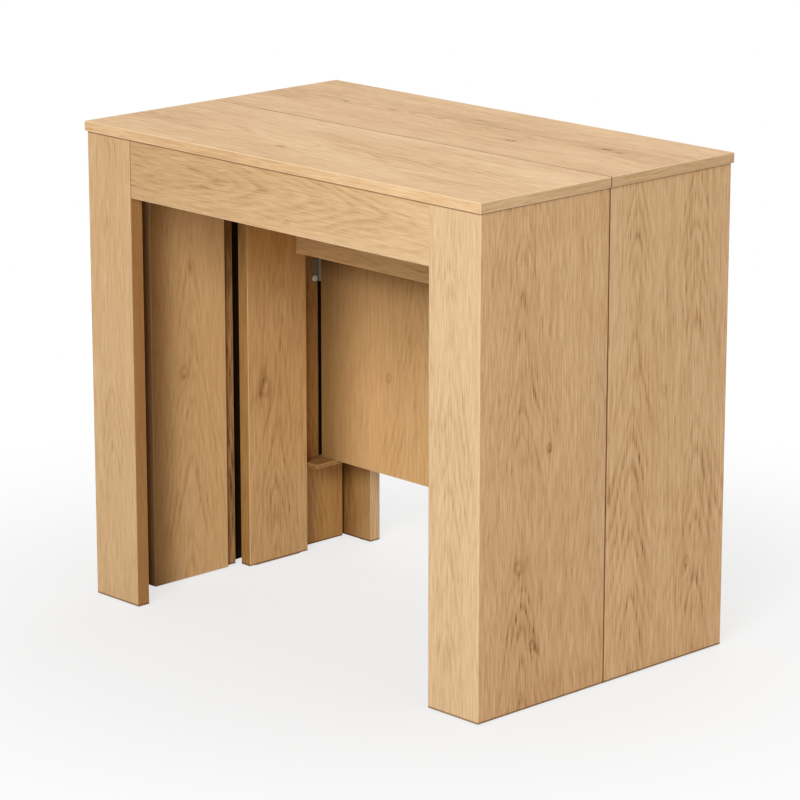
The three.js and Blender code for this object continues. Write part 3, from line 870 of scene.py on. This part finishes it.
def rail_bracket_screws(half, side, sign, material):
    """Screws up into the table top and sideways into the outermost or innermost rail."""
    node = f"{half}_rail_bracket_{side}"
    low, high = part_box(node)
    inner, outer = sorted((abs(low[X]), abs(high[X])))
    plate, flange_end, away = (inner, outer, 1) if half == "rear" else (outer, inner, -1)
    middle = (low[Y] + high[Y]) / 2
    seat = plate + away * BRACKET_SHEET
    flange = (seat + flange_end) / 2
    for number, shift in enumerate(TOP_SCREW_SHIFTS, 1):
        place = (sign * flange, middle + shift, high[Z] - BRACKET_SHEET)
        fit(f"{node}_top_screw_{number}", pan_screw(), place, (0, 0, -1), node, material)
    for number, shift in enumerate(RAIL_SCREW_SHIFTS, 1):
        place = (sign * seat, middle + shift, low[Z] + RAIL_SCREW_RISE)
        rings = pan_screw(length=RAIL_SCREW_LENGTH)
        facing = (sign * away, 0, 0)
        fit(f"{node}_rail_screw_{number}", rings, place, facing, node, material)


def support_bracket_screws(side, material):
    """Screws through the bracket into the cross board and up into the rail that it carries."""
    node = f"support_bracket_{side}"
    low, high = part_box(node)
    middle = (low[X] + high[X]) / 2
    seat = cross_low[Y] - SUPPORT_SHEET
    places = [(middle + across, seat, low[Z] + rise)
              for across in BOARD_SCREW_SHIFTS for rise in BOARD_SCREW_RISES]
    for number, place in enumerate(places, 1):
        fit(f"{node}_board_screw_{number}", pan_screw(), place, (0, -1, 0), node,
            material)
    for number, start in enumerate(CARRIER_SCREW_STARTS, 1):
        place = (middle, low[Y] + start, high[Z] - SUPPORT_SHEET)
        rings = pan_screw(length=CARRIER_SCREW_LENGTH)
        fit(f"{node}_rail_screw_{number}", rings, place, (0, 0, -1), node, material)


def cam_locks(half, side, sign, material):
    """Cam locks on the inner faces of the apron and the side panel."""
    back = 1 if half == "rear" else -1
    apron = f"{half}_apron"
    low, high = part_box(apron)
    face = low[Y] if half == "rear" else high[Y]
    place = (sign * (high[X] - CAM_INSET), face, (low[Z] + high[Z]) / 2)
    fit(f"{apron}_cam_lock_{side}", cam_lock(), place, (0, -back, 0), apron, material)
    panel = f"{half}_side_{side}"
    low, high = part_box(panel)
    face = sign * min(abs(low[X]), abs(high[X]))
    place = (face, back * SIDE_CAM_PLACE[half], high[Z] - CAM_INSET)
    fit(f"{panel}_cam_lock", cam_lock(), place, (-sign, 0, 0), panel, material)


def ledge_screw(side, material):
    """A screw up through the ledge into the back panel that stands on it."""
    node = f"panel_ledge_{side}"
    low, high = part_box(node)
    place = ((low[X] + high[X]) / 2, (panel_low[Y] + panel_high[Y]) / 2, low[Z])
    rings = pan_screw(length=LEDGE_SCREW_LENGTH)
    fit(f"{node}_screw", rings, place, (0, 0, -1), node, material)


def top_dowel(side, material):
    """A fluted dowel in the seam edge of the front top, in the plain one's place."""
    node = f"top_dowel_{side}"
    low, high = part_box(node)
    rings = fluted_dowel((high[Z] - low[Z]) / 2, high[Y] - low[Y])
    piece = fit(f"fluted_dowel_{side}", rings, (low + high) / 2, (0, 1, 0), node,
                material)
    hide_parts(node)


def panel_clip(side, sign, plate_material, screw_material):
    """Bent plate on the inner board, which holds the back panel by its end, and its screw."""
    node = f"panel_clip_{side}"
    low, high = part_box(node)
    face = max(abs(low[X]), abs(high[X]))
    edge = abs(panel_high[X])
    start, end = low[Y], panel_low[Y] + CLIP_LAP
    profile = [(face, start), (face, end), (edge, end), (edge, end - CLIP_SHEET),
               (face - CLIP_SHEET - CLIP_BEND, end - CLIP_SHEET),
               (face - CLIP_SHEET, end - CLIP_SHEET - CLIP_BEND), (face - CLIP_SHEET, start)]
    rings = [[(sign * across, along, height) for across, along in profile[::-sign]]
             for height in (low[Z], high[Z] + CLIP_RISE)]
    plate = fit(f"clip_plate_{side}", rings, (0, 0, 0), (0, 0, 1), node, plate_material)
    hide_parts(node)
    screw = f"panel_clip_screw_{side}"
    low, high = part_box(screw)
    place = (sign * (face - CLIP_SHEET), (low[Y] + high[Y]) / 2, (low[Z] + high[Z]) / 2)
    rings = pan_screw(radius=(high[Z] - low[Z]) / 2, **CLIP_SCREW)
    head = fit(f"clip_screw_{side}", rings, place, (-sign, 0, 0), screw, screw_material)
    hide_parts(screw)


def add_fittings(zinc, clip_steel, cap_nylon, beech):
    for side, sign in SIDES.items():
        for half in ("rear", "front"):
            rail_bracket_screws(half, side, sign, zinc)
            cam_locks(half, side, sign, zinc)
        support_bracket_screws(side, zinc)
        ledge_screw(side, zinc)
        top_dowel(side, beech)
        panel_clip(side, sign, clip_steel, cap_nylon)


bpy.context.scene.view_settings.view_transform = "Standard"
add_camera()
add_world()
for name, light in LIGHTS.items():
    add_light(name, **light)
add_floor()
dress_boards()
aluminium = metal("drawn_aluminium", (0.70, 0.71, 0.73), roughness=0.34, along=Y, lines=900.0,
                  spangle=25.0)
zinc = metal("zinc_plated_steel", (0.60, 0.61, 0.62), roughness=0.38, along=Y, lines=500.0,
             spangle=140.0)
clip_steel = metal("dull_steel", (0.36, 0.31, 0.22), roughness=0.6, along=Z, lines=500.0,
                   spangle=140.0, metallic=0.3)
nylon = plastic("moulded_nylon", (0.80, 0.79, 0.75), roughness=0.5)
cap_nylon = plastic("glossy_cap_nylon", (0.96, 0.93, 0.88), roughness=0.25)
beech = turned_wood("turned_beech", light=(0.72, 0.50, 0.30), dark=(0.50, 0.30, 0.16))
dress_fittings(aluminium, zinc, nylon)
add_fittings(zinc, clip_steel, cap_nylon, beech)
